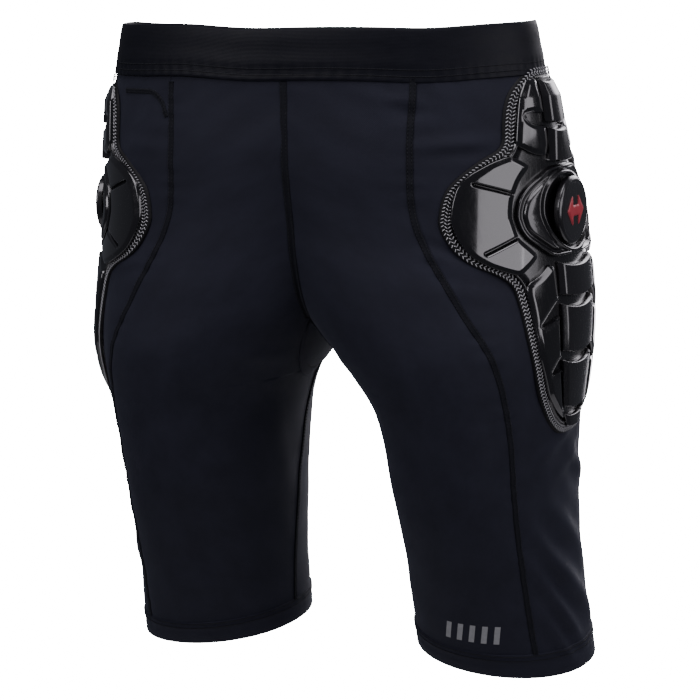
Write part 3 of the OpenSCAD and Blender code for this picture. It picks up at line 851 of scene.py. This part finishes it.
class Plate:
    """A moulded plate: an outline, cuts through it, grooves in it, and a height at each depth."""

    def __init__(self, outline, cuts=(), grooves=(), spacing=2.4, extra=(),
                 steps=(0, 0.25, 0.6, 0.9, 1.3, 2.0, 3.2, 3.7, 4.2, 4.8)):
        self.loops = [outline, *cuts]
        self.grooves = grooves
        groups = list(self.loops)
        edges, count = [], 0
        for loop in self.loops:
            n = len(loop)
            edges += [(count + i, count + (i + 1) % n) for i in range(n)]
            count += n
        for distance in steps[1:]:
            for i, loop in enumerate(self.loops):
                ring = inward(loop, distance if i == 0 else -distance)
                groups.append(ring[self.depth(ring) > 0.95 * distance])
        for p, q in grooves:
            groups.append(self.beside(p, q))
        groups += [line[self.depth(line) > 0.3] for line in extra]
        low, high = outline.min(0), outline.max(0)
        x, z = np.meshgrid(np.arange(low[0], high[0], spacing),
                           np.arange(low[1], high[1], spacing * 0.87))
        x[::2] += spacing / 2
        grid = np.stack([x.ravel(), z.ravel()], -1)
        keep = self.depth(grid) > steps[-1] + 0.5 * spacing
        keep &= groove_distance(grid, grooves) > 3.2
        groups.append(grid[keep])
        points = np.concatenate(groups)
        made = delaunay_2d_cdt([Vector(p) for p in points], edges, [], 0, 1e-5)
        self.points = np.array([tuple(p) for p in made[0]])
        faces = np.array([f for f in made[2] if len(f) == 3])
        centres = self.points[faces].mean(1)
        self.faces = faces[self.depth(centres) > 0]
        self.rim = self.depth(self.points) < 0.02

    @staticmethod
    def beside(p, q):
        """Mesh points along a groove, on both its walls and round its end."""
        p, q = np.array(p, float), np.array(q, float)
        d = (q - p) / np.linalg.norm(q - p)
        across = np.array([-d[1], d[0]])
        t = np.linspace(0, 1, max(int(np.linalg.norm(q - p) / 1.1), 3))[:, None]
        rows = [p + (q - p) * t + across * k for k in (-2.6, -1.7, -1, -0.5, 0, 0.5, 1, 1.7, 2.6)]
        turn = np.linspace(-np.pi / 2, np.pi / 2, 7)[:, None]
        rows += [q + r * (d * np.cos(turn) + across * np.sin(turn)) for r in (0.5, 1, 1.7, 2.6)]
        return np.concatenate(rows)

    def depth(self, points):
        inside = depth_in(points, self.loops[0])
        for cut in self.loops[1:]:
            inside = np.minimum(inside, -depth_in(points, cut))
        return inside

    def build(self, name, side, shape, material, node_name, slot, place=on_pad, edge=None):
        """shape(depth, points) gives the height; edge is (material, width) of another border."""
        def surface(dw=0.0, dz=0.0):
            points = self.points + [dw, dz]
            height = shape(self.depth(points), points)
            if place is on_pad:
                height = height * tuck(points[:, 1])
            return place(side, points[:, 0], points[:, 1], height)

        top = surface()
        normal = np.cross(surface(0, 0.2) - surface(0, -0.2), surface(0.2) - surface(-0.2))
        normal *= side / np.linalg.norm(normal, axis=1)[:, None]
        used = np.unique(self.faces)
        renumber = -np.ones(len(top), int)
        renumber[used] = np.arange(len(used))
        faces = renumber[self.faces]
        if side > 0:
            faces = faces[:, ::-1]
        piece = make_piece(name, top[used], faces.tolist(), material, node_name)
        piece.data.normals_split_custom_set_from_vertices(normal[used].tolist())
        if edge:
            piece.data.materials.append(edge[0])
            on_edge = self.depth(self.points[self.faces].mean(1)) < edge[1]
            piece.data.polygons.foreach_set("material_index", on_edge.astype(np.int32))
        return piece


def tuck(z):
    """The pad's top end thins out under the waistband."""
    return np.interp(z, (-55, -45, -40, -36), (1.0, 0.62, 0.3, 0.12))


def steps_height(*pairs):
    """A height profile: pairs of (depth, height), joined by straight lines."""
    at, high = np.array(pairs).T
    return lambda depth, points: np.interp(depth, at, high)


def mirrored(corners):
    return [(-w, z) for w, z in corners][::-1]


def both_ways(half):
    """A whole outline from its front half."""
    return list(half) + mirrored(half)


FLANGE_HALF = ((18, -34), (25, -41), (33, -49), (38, -59), (42, -74), (45, -89), (59, -96),
               (76, -108), (87, -118), (95, -132), (100, -145), (98, -160), (90, -170),
               (74, -178), (64, -186), (62, -200), (59, -220), (54, -240), (47, -268),
               (34, -291), (17, -304))
UPPER_FRONT = ((13, -42), (22, -42), (29, -53), (36, -80), (38, -88), (28, -95), (17, -98),
               (13, -90), (12.5, -76))
UPPER_LEAF = ((29, -67), (25, -72), (18, -75), (6, -76), (6, -68), (20, -66))
THIGH_FRONT = ((28, -176), (33, -174), (42, -180), (54, -185), (56, -191), (54, -214),
               (49, -238), (38, -270), (27, -284), (16, -292), (21, -276), (26, -250),
               (28, -215))
THIGH_LEAVES = (((48, -217), (38, -215), (22, -209), (22, -200), (30, -201), (36, -206)),
                ((38, -253), (28, -251.5), (18, -247), (18, -238), (25, -240), (31, -245)))
PETAL = ((31, -103), (36, -99), (43, -94), (55, -98), (70, -106), (79, -114), (86, -126),
         (91, -138), (92, -152), (89, -163), (81, -170), (69, -176), (58, -180), (47, -173),
         (40, -167), (46, -160), (52.5, -153), (52.5, -137), (48.5, -125), (41, -113))
PETAL_GROOVES = (((47, -122.5), (69, -113)), ((52, -152), (78, -162)))
HUB_HALF = ((0, 34), (14, 34), (29, 27), (38, 21), (45, 14), (50, 3), (50, -8), (47, -15),
            (38, -23), (27, -31), (0, -31))


def circle(radius, pitch=1.1, centre=(0, DISC_Z)):
    turn = np.linspace(0, 2 * np.pi, int(2 * np.pi * radius / pitch), endpoint=False)
    return np.array(centre) + radius * np.stack([np.cos(turn), np.sin(turn)], -1)


def shingle_outline(top, bottom, top_half, bottom_half, sag):
    """A side plate: its top edge is hollow and its bottom edge bulges."""
    x = np.linspace(-1, 1, 15)
    upper = np.stack([x * top_half, top - sag * (1 - x**2)], -1)
    lower = np.stack([-x * bottom_half, bottom + sag * x**2], -1)
    return evenly(np.vstack([upper, lower]), 1.1)


class Shingle(Plate):
    """A side plate: steep ends, a slanted strip along each side and a gently crowned top."""

    def __init__(self, top, bottom, top_half, bottom_half, sag, high, slope=3.4):
        self.row = (top, bottom, top_half, bottom_half, sag, high, slope)
        t = np.linspace(0, 1, 40)
        z = top + (bottom - top) * t
        half = top_half + (bottom_half - top_half) * t
        lines = [np.stack([s * (half - slope + k), z], -1) for s in (-1, 1)
                 for k in (-0.8, -0.4, 0, 0.4, 0.8)]
        super().__init__(shingle_outline(top, bottom, top_half, bottom_half, sag),
                         steps=(0, 0.25, 0.6, 1.1, 1.8), extra=lines)

    def shape(self, depth, points):
        top, bottom, top_half, bottom_half, sag, high, slope = self.row
        w, z = points.T
        half = top_half + (bottom_half - top_half) * np.clip((z - top) / (bottom - top), 0, 1)
        x = np.clip(w / half, -1, 1)
        beside = half - np.abs(w)
        end = np.minimum(top - sag * (1 - x**2) - z, z - bottom - sag * x**2)
        side_height = np.interp(beside, (0, 0.25, 0.7, slope - 0.5, slope + 0.5),
                                (1.8, 4.2, 4.8, high - 0.4, high)) + 0.8 * (1 - x**2)
        end_height = np.interp(end, (0, 0.3, 0.7, 1.2, 1.8), (1.8, high - 2, high - 0.8, high, 11))
        return np.minimum(side_height, end_height)


SIDE_PLATES = (
    ("upper_side_plates", ((-43, -75, 11.5, 12, 2, 8.6), (-77, -103, 10, 15, 2, 8.6))),
    ("thigh_side_plates", ((-173, -201, 24, 25, 4, 7.8), (-203, -242, 25, 23, 4, 7.2),
                           (-244, -285, 23, 18, 4, 6.8), (-287, -300, 16, 11, 2, 5.8))),
)
plate_shape = steps_height((0, 1.8), (0.25, 4.4), (0.7, 5.2), (1.1, 5.4), (3.3, 6.6), (4.2, 6.9))


def leafed_height(depth, points, leaves):
    """A plate's height with a thin raised lip round each leaf-shaped notch."""
    gap = np.min([-depth_in(points, leaf) for leaf in leaves], axis=0)
    return plate_shape(depth, points) + 1.0 * np.exp(-((gap - 0.9) / 0.5)**2)


def petal_height(depth, points, grooves):
    outer = np.interp(depth, (0, 0.25, 0.7, 1.1, 3.3, 4.2), (1.8, 4.6, 5.4, 5.6, 6.8, 7.1))
    gap = groove_distance(points, grooves)
    cut = np.interp(gap, (0, 0.5, 0.9, 1.7, 2.6), (3.4, 3.5, 5.9, 7.0, 8.4))
    return np.minimum(outer, cut)


def hub_height(depth, points):
    rim = np.interp(depth, (0, 0.25, 0.7, 1.2, 2.4, 3.2, 5.0, 5.6, 6.4, 7.4, 16),
                    (1.8, 5.2, 6.2, 6.4, 6.4, 4.6, 4.6, 5.8, 7.2, 7.5, 8.4))
    radius = np.hypot(points[:, 0], points[:, 1] - DISC_Z)
    bowl = np.interp(radius, (DISC_RADIUS + 2, DISC_RADIUS + 3.5, DISC_RADIUS + 5), (5.6, 7.0, 9.0))
    return np.minimum(rim, bowl)


def chevrons(name, side, node_name):
    """Herringbone stitching on the pad's edge: two slanted stitches across at every step."""
    loop = rounded(both_ways(FLANGE_HALF), 14, 0.8)
    line = evenly(inward(loop, 3.9), 2.7)
    ahead = np.roll(line, -1, 0) - np.roll(line, 1, 0)
    ahead /= np.linalg.norm(ahead, axis=1)[:, None]
    across = np.stack([-ahead[:, 1], ahead[:, 0]], -1)
    thread = Stitches(0.34, 2.4)
    for lane, tilt in ((-1.9, 1), (0.0, -1), (1.9, 1)):
        middle = line + across * lane + ahead * (0.5 * (lane == 0))
        d = across * 0.8 + ahead * tilt * 0.75
        d /= np.linalg.norm(d, axis=1)[:, None]
        at = on_pad(side, middle[:, 0], middle[:, 1], 2.6)
        tip = on_pad(side, *(middle + d).T, 2.6)
        out = on_pad(side, middle[:, 0], middle[:, 1], 3.6) - at
        thread.add(at, tip - at, out)
    thread.build(name, PAD_THREAD, node_name, "pad_thread")


def leafed_plate(name, side, node_name, outline, radius, leaves):
    leaves = [rounded(leaf, 3, 0.7) for leaf in leaves]
    plate = Plate(rounded(outline, radius), leaves)
    plate.build(name, side, partial(leafed_height, leaves=leaves), GLOSS, node_name, "plate")


def build_pad(side, word):
    flange = rounded(both_ways(FLANGE_HALF), 14)
    backing = Plate(flange, steps=(0, 0.3, 0.8, 2.5, 5, 7.2, 7.6, 8.1, 8.8, 9.3, 9.7), spacing=4.5)
    shape = steps_height((0, 0.4), (0.3, 1.6), (0.8, 2.0), (2.5, 2.1), (5, 2.1), (7.2, 2.0),
                         (7.6, 3.3), (8.1, 3.9), (8.8, 3.9), (9.3, 3.3), (9.7, 1.9), (40, 1.9))
    made = backing.build(f"moulded_backing_{word}", side, shape, RUBBER, f"pad_backing_{word}",
                         "backing", edge=(MATTE, 7.3))
    chevrons(f"herringbone_stitching_{word}", side, f"pad_stitching_{word}")
    for way, front in ((1, "front"), (-1, "rear")):
        turn = (lambda c: c) if way > 0 else mirrored
        leafed_plate(f"upper_{front}_{word}", side, f"upper_{front}_plate_{word}",
                     turn(UPPER_FRONT), 3, [turn(UPPER_LEAF)])
        leafed_plate(f"thigh_{front}_{word}", side, f"thigh_{front}_plate_{word}",
                     turn(THIGH_FRONT), 5, [turn(leaf) for leaf in THIGH_LEAVES])
        grooves = [tuple((way * w, z) for w, z in groove) for groove in PETAL_GROOVES]
        petal = Plate(rounded(turn(PETAL), 5), grooves=grooves)
        petal.build(f"petal_{front}_{word}", side, partial(petal_height, grooves=grooves),
                    GLOSS, f"{front}_petal_{word}", "plate")
    hub_half = [(w, z + DISC_Z) for w, z in HUB_HALF]
    hub = Plate(rounded(both_ways(hub_half[1:-1]), 5), [circle(DISC_RADIUS + 2)],
                steps=(0, 0.3, 0.8, 1.3, 2.4, 3.2, 5.0, 5.6, 6.4, 7.4))
    hub.build(f"hub_{word}", side, hub_height, SATIN, f"hub_plate_{word}", "plate")
    for base, rows in SIDE_PLATES:
        for i, row in enumerate(rows):
            plate = Shingle(*row)
            plate.build(f"{base}_{i + 1}_{word}", side, plate.shape, SATIN, f"{base}_{word}",
                        "plate")
    build_disc(side, word)


def on_disc(side, u, v, height):
    """Points on the flat disc: u towards the front, v up, height out from its back face."""
    base = on_pad(1, np.array([0.0]), np.array([DISC_Z]), 3.3)[0]
    c, s = math.cos(DISC_TURN), math.sin(DISC_TURN)
    points = np.stack(np.broadcast_arrays(base[0] + c * height - s * u,
                                          base[1] - c * u - s * height, base[2] + v), -1)
    return placed(points, side)


def build_disc(side, word):
    """The turned disc: a bevel round a flat face with a shallow ring pressed into it."""
    section = ((0, DISC_RADIUS - 0.5), (3.2, DISC_RADIUS), (4.0, DISC_RADIUS - 0.1),
               (5.0, DISC_RADIUS - 1.0), (5.6, DISC_RADIUS - 2.0), (5.75, DISC_RADIUS - 3.0),
               (5.6, DISC_RADIUS - 3.6), (5.6, DISC_RADIUS - 4.4), (5.85, DISC_RADIUS - 5.2),
               (5.9, 12.0), (5.9, 5.0), (5.9, 0.01))
    turn = np.linspace(0, 2 * np.pi, 120, endpoint=False)
    rings = [on_disc(side, r * np.cos(turn), r * np.sin(turn), h) for h, r in section]
    faces = flipped(grid_faces(len(section), 120, wrap=True), -side)
    disc = make_piece(f"hip_disc_{word}", np.concatenate(rings), faces, SATIN,
                      f"hub_disc_{word}")
    disc.modifiers.new("even_normals", "WEIGHTED_NORMAL")
    arrow = [(-14, 0), (-5, 11), (-5, 4), (5, 4), (5, 11), (14, 0), (5, -11), (5, -4),
             (-5, -4), (-5, -11)]
    mark = Plate(rounded(arrow, 0.8, 0.5), steps=(0, 0.25, 0.5), spacing=1.6)
    shape = steps_height((0, 5.7), (0.2, 6.5), (0.5, 6.75), (3, 6.8))
    mark.build(f"double_arrow_{word}", side, shape, RED, f"disc_mark_{word}", "mark_red",
               place=on_disc)


for side, word in SIDES:
    build_pad(side, word)


def hem_mark():
    """Five slanted bars stand for the printed mark above the hem on the wearer's left."""
    low, high, n = -461, -446, 8
    points, faces = [], []
    for i in range(5):
        rows = []
        for z in np.linspace(low, high, n):
            a = -108 + 8 * i + 3.6 * np.linspace(0, 1, n) + (z - low) * 0.22
            heights = np.full(n, z)
            rows.append(on_body(a, slant(a, heights), relief(1, a, heights) + 0.12))
        points.append(np.stack(rows).reshape(-1, 3))
        faces += flipped(grid_faces(n, n, offset=i * n * n), -1)
    make_piece("hem_bars", np.concatenate(points), faces, GREY, "hem_mark")


hem_mark()


# ---- floor, light and camera ------------------------------------------------------------------
def add_floor():
    """A plain pale disc well below the shorts."""
    radius, height, sides = 1.4, -1.6, 96
    mesh = bpy.data.meshes.new("floor")
    turn = np.linspace(0, 2 * np.pi, sides, endpoint=False)
    ring = [(radius * math.cos(t), radius * math.sin(t), height) for t in turn]
    mesh.from_pydata(ring, [], [tuple(range(sides))])
    floor = put_in_scene("floor", mesh)
    mat, tree, shader = new_material("pale_floor", (0.8, 0.8, 0.8), 0.8)
    place = add_node(tree, "ShaderNodeTexCoord").outputs["Object"]
    grain = texture(tree, "Noise", place, Scale=40.0, Detail=3.0)
    mix_colour(tree, shader, grain, (0.78, 0.78, 0.78), (0.82, 0.82, 0.82))
    mesh.materials.append(mat)


# Softboxes: name, place, aim, width and height in metres, and how bright the face is.
SOFTBOXES = (
    ("right_softbox", (1.5, -0.72, 0.14), (0.19, -0.02, 0.14), (0.96, 1.08), 3.1),
    ("right_upper_softbox", (1.69, -0.08, 0.7), (0.19, -0.02, 0.7), (0.5, 1.4), 3.2),
    ("side_glow", (0.82, 1.36, 0.24), (0.19, -0.02, 0.1), (0.55, 0.6), 2.2),
    ("edge_strip", (0.2, 1.9, -0.4), (0.2, 0, -0.3), (0.3, 1.3), 5.0),
    ("left_softbox", (-1.1, -1.7, 0.9), (0, 0, -0.1), (1.0, 1.0), 7.0),
    ("top_softbox", (0.2, -0.5, 1.5), (0, 0, -0.1), (1.6, 1.0), 5.0),
    ("back_rim", (-0.35, 2.2, -0.3), (0, 0, -0.25), (1.1, 1.6), 1.6),
    ("back_high", (0.6, 2.0, 0.85), (0.1, 0, -0.05), (1.4, 1.2), 4.5),
)


def add_softbox(name, place, aim, size, radiance):
    """A rectangular softbox; its power follows from its size and how bright its face is."""
    data = bpy.data.lights.new(name, "AREA")
    data.shape = "RECTANGLE"
    data.size, data.size_y = size
    data.energy = radiance * math.pi * size[0] * size[1]
    data.color = (1.0, 0.965, 1.03)
    light = put_in_scene(name, data)
    light.location = place
    light.rotation_euler = (Vector(aim) - Vector(place)).to_track_quat("-Z", "Y").to_euler()
    light.visible_camera = False


def add_world():
    """White behind the object, with dim room light for everything that isn't the backdrop."""
    world = bpy.data.worlds.new("studio")
    world.use_nodes = True
    tree = world.node_tree
    tree.nodes.clear()
    path = tree.nodes.new("ShaderNodeLightPath")
    backdrop = add_node(tree, "ShaderNodeBackground", Color=(1, 1, 1, 1), Strength=30.0)
    room = add_node(tree, "ShaderNodeBackground", Color=(0.82, 0.86, 1.0, 1), Strength=0.1)
    mixed = tree.nodes.new("ShaderNodeMixShader")
    out = tree.nodes.new("ShaderNodeOutputWorld")
    tree.links.new(path.outputs["Is Camera Ray"], mixed.inputs[0])
    tree.links.new(room.outputs[0], mixed.inputs[1])
    tree.links.new(backdrop.outputs[0], mixed.inputs[2])
    tree.links.new(mixed.outputs[0], out.inputs[0])
    bpy.context.scene.world = world


def add_camera():
    """The photograph's place: in front of the wearer's left leg, a little above the hips."""
    azimuth, elevation, roll = (math.radians(d) for d in (22.3, 11.3, 2.15))
    target, distance = Vector((0, 0, -0.247)), 1.509
    back = Vector((math.sin(azimuth) * math.cos(elevation),
                   -math.cos(azimuth) * math.cos(elevation), math.sin(elevation)))
    right = Vector((math.cos(azimuth), math.sin(azimuth), 0))
    up = back.cross(right)
    data = bpy.data.cameras.new("photo_camera")
    data.lens, data.sensor_width = 99.8, 36
    data.shift_x, data.shift_y = 0.0156, -0.0101
    camera = put_in_scene("photo_camera", data)
    axes = (right * math.cos(roll) - up * math.sin(roll),
            right * math.sin(roll) + up * math.cos(roll), back)
    camera.matrix_world = Matrix(axes).transposed().to_4x4()
    camera.location = target + distance * back
    bpy.context.scene.camera = camera


add_floor()
add_world()
add_camera()
for softbox in SOFTBOXES:
    add_softbox(*softbox)
